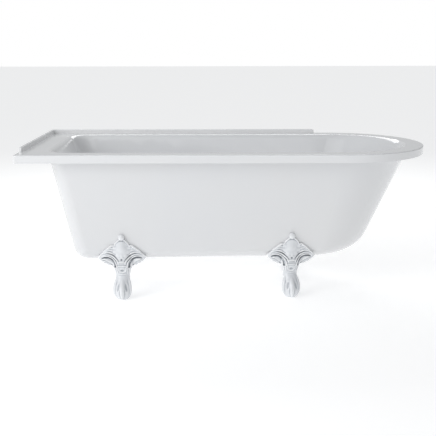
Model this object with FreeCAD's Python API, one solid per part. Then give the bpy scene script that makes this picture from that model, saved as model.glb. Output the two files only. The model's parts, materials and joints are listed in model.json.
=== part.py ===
import FreeCAD, Part
import math
import os
from types import SimpleNamespace

from FreeCAD import Vector

# A freestanding shower bath: a square left end, a round right end, a double skin, four claw feet.
# The frame: origin on the floor under the middle, +X to the round end, -Y to the front, +Z up.
# All sizes are millimetres.

# ---- the bath as a whole -------------------------------------------------------------------------
LENGTH = 1700.0               # square end to the tip of the round end
WIDTH = 750.0
LEG_HEIGHT = 164.0            # floor to the underside of the skirt
TUB_DEPTH = 466.0             # underside of the skirt to the top of the rim
RIM_TOP = LEG_HEIGHT + TUB_DEPTH
TOUCH = 0.3                   # gap between curved pieces that lie against each other
RUN = 0.05                    # radial play of a shaft in its hole

# ---- the rim -------------------------------------------------------------------------------------
RIM_FACE = 33.0               # height of the rim's upright face
RIM_CORNER = 8.0              # plan radius of the two square corners
RIM_EDGE = 4.0                # rounding of the top edge
DECK = 8.0                    # thickness of the flat deck
LIP = 6.0                     # thickness of the upright face
LIP_FOOT = RIM_TOP - RIM_FACE

# ---- the inner shell -----------------------------------------------------------------------------
SHELL = 6.0                   # wall of the basin
FLOOR_RISE = 48.0             # basin floor above the underside of the skirt
ROLL = 22.0                   # rounding from the deck into the basin
ROLL_LAP = 0.4                # how far the rounding's circle would rise above the deck
FLOOR_TOP = LEG_HEIGHT + FLOOR_RISE

basin = SimpleNamespace(
    top=RIM_TOP, bottom=FLOOR_TOP,
    left=-LENGTH / 2 + 120, right=LENGTH / 2 - 82, half_width=WIDTH / 2 - 83,
    corner=85.0, end_step=4.0, end_taper=0.07, roll=ROLL,
    slope={"left": 0.466, "side": 0.2126, "right": 0.55},
    fillet={"left": 80.0, "side": 80.0, "right": 95.0})

# ---- the outer skirt -----------------------------------------------------------------------------
SKIN = 4.0
FLANGE = 4.0                  # the skirt's turned-out top edge
FLANGE_UP = 3.0               # flange above the foot of the lip
FLANGE_GAP = 1.0              # flange to the inside of the lip
FLANGE_TOP = LIP_FOOT + FLANGE_UP + FLANGE

skirt = SimpleNamespace(
    top=LIP_FOOT, bottom=LEG_HEIGHT,
    left=-LENGTH / 2 + 121, right=LENGTH / 2 - 70.4, half_width=WIDTH / 2 - 59,
    corner=63.0, end_step=12.0, end_taper=0.071, roll=0.0,
    slope={"left": 0.192, "side": 0.14, "right": 0.455},
    fillet={"left": 58.0, "side": 58.0, "right": 140.0})

LEAST_CORNER = 4.0            # no plan corner of a tub gets sharper than this

# ---- rim battens, base board and leg blocks ------------------------------------------------------
BATTEN_WIDTH = 54.0
BATTEN_LAP = 1.5              # batten to the inside of the lip
BATTEN_HEIGHT = RIM_TOP - DECK - FLANGE_TOP
LEFT_BATTEN_WIDTH = 100.0
BATTEN_END = 40.0             # straight battens stop this far before the round end starts
BATTEN_GAP = 1.0              # between battens at the corners
CURVED_BATTEN_SWEEP = 150.0   # degrees
BOARD = 18.0
BOARD_TOP = FLOOR_TOP - SHELL
BOARD_END = 70.0              # board's ends to the skirt's wall lines at the board's level
BOARD_SIDE = 60.0             # and its sides
BOARD_CORNER = 20.0
BOARD_END_STEP = 30.0         # how much less than its half width the round end's radius is
BLOCK_FOOT = LEG_HEIGHT + SKIN
BLOCK_TOP = BOARD_TOP - BOARD

# ---- the tiling upstand --------------------------------------------------------------------------
UPSTAND_HEIGHT = 18.0
UPSTAND_THICK = 12.0
UPSTAND_BACK_END = 428.0      # back strip's free end to the tip of the round end
UPSTAND_FRONT_END = 100.0     # end strip's free end to the front of the rim
UPSTAND_NOSE = 9.0            # rounding of the free ends
UPSTAND_EDGE = 2.5

# ---- the feet ------------------------------------------------------------------------------------
LEFT_FOOT = 404.0             # square end to the front left foot
RIGHT_FOOT = 583.0            # tip of the round end to the front right foot
REAR_SPREAD = 36.0            # rear feet stand this much nearer the ends than the front ones
RIGHT_TURN = 7.0              # degrees that the right feet face outwards
FOOT_STAND = 5.0              # ball's centre outside the skirt's wall
SHIELD = 14.0                 # thickness of the plate that hugs the skirt
SHIELD_RISE = 118.0           # top of the finial above the underside of the skirt
SHIELD_SPREAD = 102.0         # half width over the wing tips
SHIELD_WRAP = 70.0            # how far it reaches inwards under the skirt
WING_RISE = 14.0              # wing tips above the underside of the skirt
BEAD = 14.0                   # radius of the finial's bead
BALL = 39.5                   # radius of the claw's ball
NECK = 31.5
KNEE = 44.0
LUG = 12.0
LUG_HALF_WIDTH = 34.0
LUG_REACH = 125.0             # lug's inner end from the ball's centre
LUG_CORNER = 12.0
GASKET = 2.0
GASKET_INSET = 4.0            # gasket's edges inside the lug's
HOLE_REACH = 88.0             # bolt line from the ball's centre
HOLE_SPACING = 40.0
BOLT = 4.0                    # radius of the bolt's shank
BOLT_HOLE = 4.5
BOLT_LENGTH = 35.0
HEAD_FLATS = 13.0
HEAD_HEIGHT = 5.3
WASHER = 10.0
WASHER_THICK = 1.6
INSERT = 6.0                  # outer radius of the threaded insert
INSERT_INSET = 2.0
BLOCK_LENGTH = 84.0
BLOCK_BEYOND = 16.0           # block from the bolt line towards the wall
BLOCK_INSIDE = 50.0           # and towards the middle
LUG_TOP = LEG_HEIGHT - GASKET
LUG_FOOT = LUG_TOP - LUG

# ---- the levellers -------------------------------------------------------------------------------
PAD = 17.0
PAD_THICK = 6.0
PAD_UP = 0.2                  # pad above the floor when wound in
PAD_EDGE = 1.0
POCKET = 0.3                  # pad to its pocket
STUD = 5.0
STUD_LENGTH = 56.0
STUD_SEAT = 3.0               # how deep the stud sits in the pad
STUD_CHAMFER = 0.8
LOCK_FLATS = 17.0
LOCK_THICK = 5.0

# ---- the waste -----------------------------------------------------------------------------------
WASTE_FROM_LEFT = 430.0
WASTE_X = -LENGTH / 2 + WASTE_FROM_LEFT
RECESS = 3.0
RECESS_RADIUS = 38.0
FLANGE_DISC = 36.0
DISC_THICK = 2.0
DISC_EDGE = 0.8
FUNNEL = 2.5                  # how far the flange's mouth opens out, and how deep it is
NECK_BORE = 20.0
NECK_OUT = 23.6
TAIL = 23.9                   # radius of the threaded outlet
TAIL_LENGTH = 21.0
SHELL_HOLE = 26.0
SEAL_THICK = 3.0
BODY = 34.0
BODY_HEIGHT = 28.0
BODY_COLLAR = 5.0
CHAMBER = 29.0
BACKNUT = 36.0
BACKNUT_THICK = 12.0
NOTCHES = 8
NOTCH = 8.0                   # width of a grip notch
NOTCH_UNDER = 3.0             # its top below the nut's top
SKIRT_HOLE = 50.0
BOARD_HOLE = 42.0
WINDOW = 12.0
CAP = 30.0
CAP_THICK = 5.0
CAP_LIFT = 9.0                # travel of the click plug
CAP_SEAL = 1.9
CAP_REST = 0.1                # seal above the flange
STEM = 5.0
STEM_STOP = 6.5
STOP_THICK = 3.0
STOP_CLEAR = 0.5              # stop to the hub when the plug is up
HUB = 9.0
HUB_HEIGHT = 10.0
HUB_RING = 2.5
SPOKE = 3.0

DISC_TOP = FLOOR_TOP
DISC_FOOT = DISC_TOP - DISC_THICK
BODY_TOP = BOARD_TOP - SEAL_THICK
BODY_FOOT = BODY_TOP - BODY_HEIGHT
NUT_TOP = BODY_FOOT - SEAL_THICK
NUT_FOOT = NUT_TOP - BACKNUT_THICK
HUB_TOP = DISC_FOOT - 4.0

# ---- the overflow --------------------------------------------------------------------------------
OVERFLOW_DROP = 140.0         # centre below the rim
ROSE = 35.0
ROSE_THICK = 8.0
ROSE_WALL = 4.0
ROSE_FACE = 3.0               # thickness of its face, and the rounding of its edge
ROSE_HOLES = 6
ROSE_RING = 22.0              # its holes' centres from its own
ROSE_BORE = 5.0
ROSE_HOLE = 20.0              # hole in the basin behind it
CUP = 24.0
CUP_DEPTH = 20.5
CUP_WALL = 2.5
BOSS = 5.0
SCREW = 2.5
SCREW_LENGTH = 26.0
SPIGOT = 8.9
SPIGOT_WALL = 2.0
SPIGOT_REACH = 52.0
HOSE = 12.0
HOSE_BORE = 9.0
HOSE_START = 28.0             # hose end from the overflow's axis
HOSE_AXIS = 20.0              # hose behind the basin's face
HOSE_BEND = 70.0
TEE_REACH = 62.0
HOSE_END = 42.0               # hose end from the waste's axis
CLAMP = 1.2
CLAMP_WIDTH = 8.0
OVERFLOW_Z = RIM_TOP - OVERFLOW_DROP
TEE_Z = BODY_FOOT + 12.0


# ---- plain shapes --------------------------------------------------------------------------------
def disc(radius, foot, top, x=0.0, y=0.0):
    return Part.makeCylinder(radius, top - foot, Vector(x, y, foot))


def ring(outer, inner, foot, top, x=0.0, y=0.0):
    return disc(outer, foot, top, x, y).cut(disc(inner, foot - 1, top + 1, x, y))


def block(x0, x1, y0, y1, z0, z1):
    return Part.makeBox(x1 - x0, y1 - y0, z1 - z0, Vector(x0, y0, z0))


def hexagon(flats, foot, top, x=0.0, y=0.0):
    radius = flats / math.sqrt(3)
    points = [Vector(x + radius * math.cos(math.radians(60 * i)),
                     y + radius * math.sin(math.radians(60 * i)), foot) for i in range(7)]
    return Part.Face(Part.makePolygon(points)).extrude(Vector(0, 0, top - foot))


def join(pieces):
    whole = pieces[0]
    for piece in pieces[1:]:
        whole = whole.fuse(piece)
    return whole.removeSplitter()


def mirrored(shape):
    return shape.mirror(Vector(0, 0, 0), Vector(0, 1, 0))


def save(name, solids):
    """Write one node: a single solid, or several alike as a compound."""
    shape = solids[0] if len(solids) == 1 else Part.makeCompound(solids)
    shape.exportStep(os.path.join("parts", name + ".step"))
    print(name, len(shape.Solids), round(shape.Volume / 1000.0, 1), "cm3", shape.isValid())


# ---- the tub outline: square left end, round right end -------------------------------------------
def side_lean(left, right, half_width, corner, end_radius):
    """Angle by which the outward normal of the back side turns from +Y."""
    run = (right - end_radius) - (left + corner)
    rise = half_width - corner
    return math.asin((end_radius - corner) / math.hypot(run, rise)) - math.atan2(rise, run)


def outline(left, right, half_width, corner, end_radius, z):
    """A closed wire: left side, corner arcs, sides tangent to the arc of the right end."""
    lean = side_lean(left, right, half_width, corner, end_radius)
    normal = Vector(-math.sin(lean), math.cos(lean), 0)
    corner_centre = Vector(left + corner, half_width - corner, z)
    end_centre = Vector(right - end_radius, 0, z)
    middle = math.pi / 2 + (math.pi / 2 + lean) / 2
    bulge = Vector(math.cos(middle), math.sin(middle), 0)

    def front(point):
        return Vector(point.x, -point.y, point.z)

    start = Vector(left, half_width - corner, z)
    knee = corner_centre + bulge * corner
    side_start = corner_centre + normal * corner
    side_end = end_centre + normal * end_radius
    tip = Vector(right, 0, z)
    edges = [
        Part.LineSegment(front(start), start),
        Part.Arc(start, knee, side_start),
        Part.LineSegment(side_start, side_end),
        Part.Arc(side_end, tip, front(side_end)),
        Part.LineSegment(front(side_end), front(side_start)),
        Part.Arc(front(side_start), front(knee), front(start))]
    return Part.Wire([edge.toShape() for edge in edges])


def face_place(tub, side, z, grow):
    """Where a wall stands at height z, out from its line at the tub's top, and how much of that
    comes from the fillet at the floor or the roll at the deck."""
    slope = tub.slope[side]
    tilt = math.atan(slope)
    line = -(tub.top - z) * slope + grow / math.cos(tilt)
    radius = tub.fillet[side] + grow
    height = z - (tub.bottom - grow)
    extra = 0.0
    if height < radius * (1 - math.sin(tilt)):
        reach = radius * math.tan((math.pi / 2 - tilt) / 2)
        extra = math.sqrt(max(0.0, radius ** 2 - (radius - height) ** 2)) - reach
        extra -= height * slope
    if tub.roll:
        roll = tub.roll - grow
        centre_z = tub.top + ROLL_LAP - tub.roll
        centre_out = tub.roll / math.cos(tilt) + (centre_z - tub.top) * slope
        if z > centre_z + roll * math.sin(tilt):
            extra = centre_out - math.sqrt(max(0.0, roll ** 2 - (z - centre_z) ** 2)) - line
    return line + extra, extra


def tub_sizes(tub, z, grow):
    left, left_extra = face_place(tub, "left", z, grow)
    side, side_extra = face_place(tub, "side", z, grow)
    right, _ = face_place(tub, "right", z, grow)
    half_width = tub.half_width + side
    corner = tub.corner + grow + (left_extra + side_extra) / 2
    end_radius = half_width - tub.end_step - tub.end_taper * (tub.top - z)
    return (tub.left - left, tub.right + right, half_width, max(LEAST_CORNER, corner), end_radius)


def tub_heights(tub, top, grow):
    """Levels of the sections: close together in the fillets and the roll, wide apart between."""
    bottom = tub.bottom - grow
    largest = max(tub.fillet.values()) + grow
    quarter = [math.pi / 2 * i / 10 for i in range(11)]
    levels = [bottom + largest * (1 - math.cos(angle)) for angle in quarter]
    ceiling = tub.top + ROLL_LAP - tub.roll if tub.roll else top
    steps = 6
    levels += [levels[-1] + (ceiling - levels[-1]) * i / steps for i in range(1, steps + 1)]
    if tub.roll:
        roll = tub.roll - grow
        last = math.asin(min(1.0, (top - ceiling) / roll))
        levels += [ceiling + roll * math.sin(last * i / 8) for i in range(1, 9)]
    return levels


def tub_solid(tub, top, grow=0.0):
    """The tub filled up to a level, its walls and floor moved outwards by grow."""
    wires = [outline(*tub_sizes(tub, z, grow), z) for z in tub_heights(tub, top, grow)]
    return Part.makeLoft(wires, True, False)


def half_width_at(tub, x, z, grow=0.0):
    """Distance of the tub's side from the middle plane, for a place on its straight side."""
    left, right, half_width, corner, end_radius = tub_sizes(tub, z, grow)
    lean = side_lean(left, right, half_width, corner, end_radius)
    return (end_radius + (x - (right - end_radius)) * math.sin(lean)) / math.cos(lean)


def rim_outline(inset, z):
    corner = max(1.0, RIM_CORNER - inset)
    half_width = WIDTH / 2 - inset
    return outline(-LENGTH / 2 + inset, LENGTH / 2 - inset, half_width, corner, half_width, z)


def rim_slab(inset, foot, top):
    return Part.Face(rim_outline(inset, foot)).extrude(Vector(0, 0, top - foot))


# ---- the foot's own frame: origin on the floor under the ball, -Y outwards -----------------------
FEET = {
    "front_left": (-LENGTH / 2 + LEFT_FOOT, 0.0, False),
    "front_right": (LENGTH / 2 - RIGHT_FOOT, RIGHT_TURN, False),
    "rear_left": (-LENGTH / 2 + LEFT_FOOT - REAR_SPREAD, 0.0, True),
    "rear_right": (LENGTH / 2 - RIGHT_FOOT + REAR_SPREAD, RIGHT_TURN, True)}


def ball_out(x):
    """Distance of a foot's ball from the bath's middle plane."""
    return half_width_at(skirt, x, LEG_HEIGHT + skirt.fillet["side"]) + FOOT_STAND


def put(shape, foot):
    """Move a piece from the foot's own frame to its place under the bath."""
    x, turn, at_rear = FEET[foot]
    moved = shape.copy()
    moved.rotate(Vector(0, 0, 0), Vector(0, 0, 1), turn)
    moved.translate(Vector(x, -ball_out(x), 0))
    return mirrored(moved) if at_rear else moved


def on_bolts(make):
    """The same piece on both bolt lines of all four feet."""
    return [put(make(side * HOLE_SPACING / 2, HOLE_REACH), foot)
            for foot in FEET for side in (-1, 1)]


# ---- shells --------------------------------------------------------------------------------------
def overflow_place():
    """Centre of the overflow on the basin's face, the face's normal, and up along the face."""
    out, _ = face_place(basin, "left", OVERFLOW_Z, 0.0)
    tilt = math.atan(basin.slope["left"])
    centre = Vector(basin.left - out, 0, OVERFLOW_Z)
    normal = Vector(math.cos(tilt), 0, math.sin(tilt))
    return centre, normal, Vector(-normal.z, 0, normal.x)


def along(radius, start, end, centre, axis):
    """A round bar along an axis, between two distances from a point on it."""
    return Part.makeCylinder(radius, end - start, centre + axis * start, axis)


def top_edges(solid, level):
    """The edges that lie flat at a level."""
    return [edge for edge in solid.Edges if abs(edge.BoundBox.ZMin - level) < 0.01]


def rim_block():
    """The rim as a full slab, its upper edge rounded."""
    slab = rim_slab(0.0, LIP_FOOT, RIM_TOP)
    return slab.makeFillet(RIM_EDGE, top_edges(slab, RIM_TOP))


def inner_shell(rim):
    deck = rim.cut(rim_slab(LIP, LIP_FOOT - 1, RIM_TOP - DECK))
    shell = deck.fuse(tub_solid(basin, RIM_TOP - DECK + 1, SHELL))
    mouth = Part.Face(outline(*tub_sizes(basin, RIM_TOP, 0.0), RIM_TOP)).extrude(Vector(0, 0, 2))
    shell = shell.cut(tub_solid(basin, RIM_TOP)).cut(mouth)
    shell = shell.cut(disc(SHELL_HOLE, BOARD_TOP - 1, FLOOR_TOP + 1, WASTE_X))
    shell = shell.cut(disc(RECESS_RADIUS, FLOOR_TOP - RECESS, FLOOR_TOP + 1, WASTE_X))
    centre, normal, _ = overflow_place()
    return shell.cut(along(ROSE_HOLE, -SHELL - 4, 4, centre, normal))


def outer_skirt():
    walls = tub_solid(skirt, skirt.top)
    collar = Part.Face(outline(*tub_sizes(skirt, LIP_FOOT, 0.0), LIP_FOOT))
    collar = collar.extrude(Vector(0, 0, FLANGE_UP + FLANGE))
    flange = rim_slab(LIP + FLANGE_GAP, LIP_FOOT + FLANGE_UP, FLANGE_TOP)
    hollow = tub_solid(skirt, skirt.top, -SKIN)
    throat = Part.Face(outline(*tub_sizes(skirt, LIP_FOOT, -SKIN), LIP_FOOT))
    throat = throat.extrude(Vector(0, 0, RIM_FACE))
    body = walls.fuse(collar).fuse(flange).cut(hollow).cut(throat)
    body = body.cut(disc(SKIRT_HOLE, LEG_HEIGHT - 1, BLOCK_FOOT + 1, WASTE_X))
    for hole in on_bolts(lambda x, y: disc(BOLT_HOLE, LEG_HEIGHT - 1, BLOCK_FOOT + 1, x, y)):
        body = body.cut(hole)
    return body


# ---- timber --------------------------------------------------------------------------------------
def side_batten():
    outer = WIDTH / 2 - LIP - BATTEN_LAP
    left = -LENGTH / 2 + LIP + BATTEN_LAP
    right = LENGTH / 2 - WIDTH / 2 - BATTEN_END
    return block(left, right, -outer, -outer + BATTEN_WIDTH,
                 FLANGE_TOP, FLANGE_TOP + BATTEN_HEIGHT)


def left_batten():
    left = -LENGTH / 2 + LIP + BATTEN_LAP
    half = WIDTH / 2 - LIP - BATTEN_LAP - BATTEN_WIDTH - BATTEN_GAP
    return block(left, left + LEFT_BATTEN_WIDTH, -half, half,
                 FLANGE_TOP, FLANGE_TOP + BATTEN_HEIGHT)


def curved_batten():
    outer = WIDTH / 2 - LIP - BATTEN_LAP
    centre = LENGTH / 2 - WIDTH / 2
    whole = disc(outer, FLANGE_TOP, FLANGE_TOP + BATTEN_HEIGHT, centre)
    whole = whole.cut(disc(outer - BATTEN_WIDTH, FLANGE_TOP - 1, RIM_TOP, centre))
    half_sweep = math.radians(CURVED_BATTEN_SWEEP / 2)
    far = 2 * WIDTH
    near_x = centre + far * math.cos(half_sweep)
    side_y = far * math.sin(half_sweep)
    corners = [(centre, 0), (near_x, -side_y), (centre + far, -side_y), (centre + far, side_y),
               (near_x, side_y), (centre, 0)]
    wedge = [Vector(x, y, FLANGE_TOP) for x, y in corners]
    return whole.common(Part.Face(Part.makePolygon(wedge)).extrude(Vector(0, 0, BATTEN_HEIGHT)))


def base_board(room):
    left, right, half_width, _, _ = tub_sizes(skirt, BLOCK_TOP, -SKIN)
    half_width -= BOARD_SIDE
    wire = outline(left + BOARD_END, right - BOARD_END, half_width, BOARD_CORNER,
                   half_width - BOARD_END_STEP, BLOCK_TOP)
    board = Part.Face(wire).extrude(Vector(0, 0, BOARD)).common(room)
    slot = HOSE + 4
    board = board.cut(block(-LENGTH / 2, WASTE_X, -slot, slot, BLOCK_TOP - 1, BOARD_TOP + 1))
    return board.cut(disc(BOARD_HOLE, BLOCK_TOP - 1, BOARD_TOP + 1, WASTE_X))


def leg_block(foot, room):
    piece = block(-BLOCK_LENGTH / 2, BLOCK_LENGTH / 2, HOLE_REACH - BLOCK_BEYOND,
                  HOLE_REACH + BLOCK_INSIDE, BLOCK_FOOT, BLOCK_TOP)
    for side in (-1, 1):
        piece = piece.cut(disc(INSERT + RUN, BLOCK_FOOT - 1, BLOCK_TOP + 1,
                               side * HOLE_SPACING / 2, HOLE_REACH))
    return put(piece, foot).common(room)


# ---- the tiling upstand --------------------------------------------------------------------------
def upstand_bar(length):
    """A bar from x = 0 to its rounded free end, its outer face at y = 0 and its body in -y."""
    z0 = RIM_TOP - RIM_EDGE - 1
    z1 = RIM_TOP + UPSTAND_HEIGHT
    turn = UPSTAND_NOSE
    nose = Vector(length - turn + turn * math.sin(math.pi / 4), 0,
                  z1 - turn + turn * math.cos(math.pi / 4))
    edges = [
        Part.LineSegment(Vector(0, 0, z0), Vector(0, 0, z1)),
        Part.LineSegment(Vector(0, 0, z1), Vector(length - turn, 0, z1)),
        Part.Arc(Vector(length - turn, 0, z1), nose, Vector(length, 0, z1 - turn)),
        Part.LineSegment(Vector(length, 0, z1 - turn), Vector(length, 0, z0)),
        Part.LineSegment(Vector(length, 0, z0), Vector(0, 0, z0))]
    face = Part.Face(Part.Wire([edge.toShape() for edge in edges]))
    bar = face.extrude(Vector(0, -UPSTAND_THICK, 0))
    top = [edge for edge in bar.Edges if edge.BoundBox.ZMin > z1 - turn - 0.01
           and edge.BoundBox.XLength > 1 and edge.BoundBox.YLength < 0.01]
    return bar.makeFillet(UPSTAND_EDGE, top)


def upstands(rim):
    """The back strip and the end strip, mitred where they meet."""
    back = upstand_bar(LENGTH - UPSTAND_BACK_END)
    back.translate(Vector(-LENGTH / 2, WIDTH / 2, 0))
    end = upstand_bar(WIDTH - UPSTAND_FRONT_END)
    end = end.mirror(Vector(0, 0, 0), Vector(0, 1, 0))
    end.rotate(Vector(0, 0, 0), Vector(0, 0, 1), -90)
    end.translate(Vector(-LENGTH / 2, WIDTH / 2, 0))
    z0 = RIM_TOP - RIM_FACE
    reach = 4 * UPSTAND_THICK
    left, back_y = -LENGTH / 2, WIDTH / 2
    corners = [(left - reach, back_y + reach), (left + reach, back_y - reach),
               (left - reach, back_y - reach), (left - reach, back_y + reach)]
    mitre = Part.makePolygon([Vector(x, y, z0) for x, y in corners])
    below = Part.Face(mitre).extrude(Vector(0, 0, 2 * RIM_FACE))
    above = below.mirror(Vector(-LENGTH / 2, WIDTH / 2, 0), Vector(1, 1, 0).normalize())
    round_corner = rim_slab(0.0, RIM_TOP - RIM_FACE, RIM_TOP + 2 * RIM_FACE)
    back = back.common(round_corner).cut(below).cut(rim)
    end = end.common(round_corner).cut(above).cut(rim)
    return back, end


# ---- the claw feet -------------------------------------------------------------------------------
def shield_outline():
    """The plate seen from the front: a bead on top, stepped shoulders, pointed wings."""
    top = LEG_HEIGHT + SHIELD_RISE
    tip = LEG_HEIGHT + WING_RISE
    shoulder = top - 3 * BEAD
    half = [
        (0.0, top), (BEAD * 0.8, top - BEAD * 0.4), (BEAD, top - BEAD), (20.0, top - 2 * BEAD),
        (37.0, shoulder), (39.0, shoulder - 8), (54.0, shoulder - 9),
        (SHIELD_SPREAD * 0.75, shoulder - 36), (SHIELD_SPREAD - 10, tip + 5),
        (SHIELD_SPREAD, tip), (SHIELD_SPREAD - 26, tip - 19), (KNEE, tip - 34),
        (KNEE * 0.8, tip - 60)]
    right = [Vector(x, 0, z) for x, z in half]
    left = [Vector(-x, 0, z) for x, z in half[:0:-1]]
    return Part.makePolygon(right + left + right[:1])


def leg_sections():
    """Level, half width, half depth and centre of the leg, from the ball up to the shield."""
    hip = LEG_HEIGHT
    crown = 2 * BALL
    shin = hip - crown
    return [
        (0.0, PAD + 3, PAD + 3, 0.0), (BALL * 0.2, BALL - 11.5, BALL - 11.5, 0.0),
        (BALL * 0.55, BALL - 3, BALL - 3, 0.0), (BALL, BALL, BALL, 0.0),
        (BALL * 1.47, BALL - 1.5, BALL - 2.5, 3.0), (crown, BALL - 5.5, BALL - 7.5, 14.0),
        (crown + 0.26 * shin, NECK, NECK - 4.5, 25.0),
        (crown + 0.53 * shin, NECK + 4.5, NECK - 0.5, 23.0),
        (crown + 0.82 * shin, KNEE - 1, KNEE - 9, 18.0), (hip + 2, KNEE - 3, KNEE - 10, 14.0),
        (hip + 28, KNEE - 7, KNEE - 17, 12.0), (hip + 58, KNEE - 20, KNEE - 29, 2.0),
        (hip + 80, KNEE - 32, KNEE - 36, 2.0)]


def leg():
    wires = []
    for z, half_width, half_depth, centre in leg_sections():
        if half_width - half_depth < 0.01:
            curve = Part.Circle(Vector(0, centre, z), Vector(0, 0, 1), half_width)
        else:
            curve = Part.Ellipse(Vector(0, centre, z), half_width, half_depth)
        wires.append(Part.Wire(curve.toShape()))
    return Part.makeLoft(wires, True, False)


def lug():
    """The flat bracket behind the leg that carries the bolts."""
    plate = block(-LUG_HALF_WIDTH, LUG_HALF_WIDTH, BALL / 2, LUG_REACH, LUG_FOOT, LUG_TOP)
    ends = [edge for edge in plate.Edges if edge.BoundBox.ZLength > 1
            and edge.BoundBox.YMin > LUG_REACH - 1]
    return plate.makeFillet(LUG_CORNER, ends)


def claw_foot(foot, around, hugging):
    """One casting: shield against the skirt, leg, ball and lug, with pockets for the leveller."""
    x = FEET[foot][0]
    face = Part.Face(shield_outline())
    face.translate(Vector(0, -SHIELD_SPREAD, 0))
    plate = face.extrude(Vector(0, SHIELD_SPREAD + SHIELD_WRAP, 0))
    plate = put(plate, foot).common(hugging)
    bead_z = LEG_HEIGHT + SHIELD_RISE - BEAD
    bead_y = ball_out(x) - half_width_at(skirt, x, bead_z) - BEAD / 2
    bead = along(BEAD + 0.5, -BEAD, BEAD, Vector(0, bead_y, bead_z), Vector(0, -1, 0))
    bead = bead.makeFillet(0.7 * BEAD, [edge for edge in bead.Edges
                                        if edge.BoundBox.YMax < bead_y - BEAD + 0.01])
    shape = put(leg(), foot).fuse(put(bead, foot)).cut(around)
    shape = shape.fuse(plate).fuse(put(lug(), foot))
    pad_top = PAD_UP + PAD_THICK + POCKET
    tools = [disc(PAD + POCKET, -1, pad_top),
             disc(LOCK_FLATS / math.sqrt(3) + POCKET, 0, pad_top + LOCK_THICK + POCKET),
             disc(STUD + RUN, 0, PAD_UP + PAD_THICK + STUD_LENGTH + 1)]
    for side in (-1, 1):
        bolt_x = side * HOLE_SPACING / 2
        tools += [disc(BOLT_HOLE, LUG_FOOT - 1, LUG_TOP + 1, bolt_x, HOLE_REACH),
                  disc(WASHER + 1, LUG_FOOT - 3 * LUG, LUG_FOOT, bolt_x, HOLE_REACH)]
    for tool in tools:
        shape = shape.cut(put(tool, foot))
    return shape.removeSplitter()


def gasket():
    half_width = LUG_HALF_WIDTH - GASKET_INSET
    plate = block(-half_width, half_width, HOLE_REACH - BLOCK_BEYOND + GASKET_INSET / 2,
                  LUG_REACH - GASKET_INSET, LUG_TOP, LEG_HEIGHT)
    for side in (-1, 1):
        plate = plate.cut(disc(BOLT_HOLE, LUG_TOP - 1, LEG_HEIGHT + 1,
                               side * HOLE_SPACING / 2, HOLE_REACH))
    return plate


def bolt(x, y):
    seat = LUG_FOOT - WASHER_THICK
    head = hexagon(HEAD_FLATS, seat - HEAD_HEIGHT, seat, x, y)
    return head.fuse(disc(BOLT, seat, seat + BOLT_LENGTH, x, y)).removeSplitter()


def washer(x, y):
    return ring(WASHER, BOLT_HOLE, LUG_FOOT - WASHER_THICK, LUG_FOOT, x, y)


def insert(x, y):
    return ring(INSERT, BOLT + RUN, BLOCK_FOOT + INSERT_INSET, BLOCK_TOP, x, y)


# ---- levellers -----------------------------------------------------------------------------------
def pad():
    base = disc(PAD, PAD_UP, PAD_UP + PAD_THICK)
    rims = [edge for edge in base.Edges if edge.BoundBox.ZLength < 0.01]
    base = base.makeFillet(PAD_EDGE, rims)
    return base.cut(disc(STUD + RUN, PAD_UP + PAD_THICK - STUD_SEAT, PAD_UP + PAD_THICK + 1))


def stud():
    foot = PAD_UP + PAD_THICK - STUD_SEAT
    rod = disc(STUD, foot, foot + STUD_LENGTH)
    return rod.makeChamfer(STUD_CHAMFER, top_edges(rod, foot + STUD_LENGTH))


def lock_nut():
    foot = PAD_UP + PAD_THICK + POCKET
    return hexagon(LOCK_FLATS, foot, foot + LOCK_THICK).cut(disc(STUD + RUN, 0, foot + 20))


# ---- the waste -----------------------------------------------------------------------------------
def waste_flange():
    neck_foot = NUT_FOOT
    body = disc(FLANGE_DISC, DISC_FOOT, DISC_TOP, WASTE_X)
    body = body.makeFillet(DISC_EDGE, top_edges(body, DISC_TOP))
    body = body.fuse(disc(NECK_OUT, neck_foot, DISC_FOOT, WASTE_X))
    body = body.fuse(disc(TAIL, neck_foot - TAIL_LENGTH, neck_foot, WASTE_X))
    body = body.cut(disc(NECK_BORE, neck_foot - TAIL_LENGTH - 1, DISC_TOP + 1, WASTE_X))
    funnel = Part.makeCone(NECK_BORE, NECK_BORE + 2 * FUNNEL, 2 * FUNNEL,
                           Vector(WASTE_X, 0, DISC_TOP - FUNNEL))
    body = body.cut(funnel)
    for turn in (0, 90):
        window = block(-BODY, BODY, -WINDOW / 2, WINDOW / 2,
                       TEE_Z - WINDOW / 2, TEE_Z + WINDOW / 2)
        window.rotate(Vector(0, 0, 0), Vector(0, 0, 1), turn)
        window.translate(Vector(WASTE_X, 0, 0))
        body = body.cut(window)
    return body.removeSplitter()


def waste_body():
    body = disc(BODY, BODY_FOOT, BODY_TOP, WASTE_X)
    body = body.fuse(along(SPIGOT, CHAMBER, TEE_REACH, Vector(WASTE_X, 0, TEE_Z), Vector(-1, 0, 0)))
    body = body.cut(disc(CHAMBER, BODY_FOOT + BODY_COLLAR, BODY_TOP - BODY_COLLAR, WASTE_X))
    body = body.cut(disc(NECK_OUT + POCKET, BODY_FOOT - 1, BODY_TOP + 1, WASTE_X))
    bore = along(SPIGOT - SPIGOT_WALL, CHAMBER - 2, TEE_REACH + 1, Vector(WASTE_X, 0, TEE_Z),
                 Vector(-1, 0, 0))
    return body.cut(bore)


def waste_backnut():
    nut = ring(BACKNUT, NECK_OUT + POCKET, NUT_FOOT, NUT_TOP, WASTE_X)
    for i in range(NOTCHES):
        notch = block(BACKNUT - NOTCH / 2, BACKNUT + NOTCH, -NOTCH / 2, NOTCH / 2,
                      NUT_FOOT - 1, NUT_TOP - NOTCH_UNDER)
        notch.rotate(Vector(0, 0, 0), Vector(0, 0, 1), 360 / NOTCHES * (i + 0.5))
        notch.translate(Vector(WASTE_X, 0, 0))
        nut = nut.cut(notch)
    return nut


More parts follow.
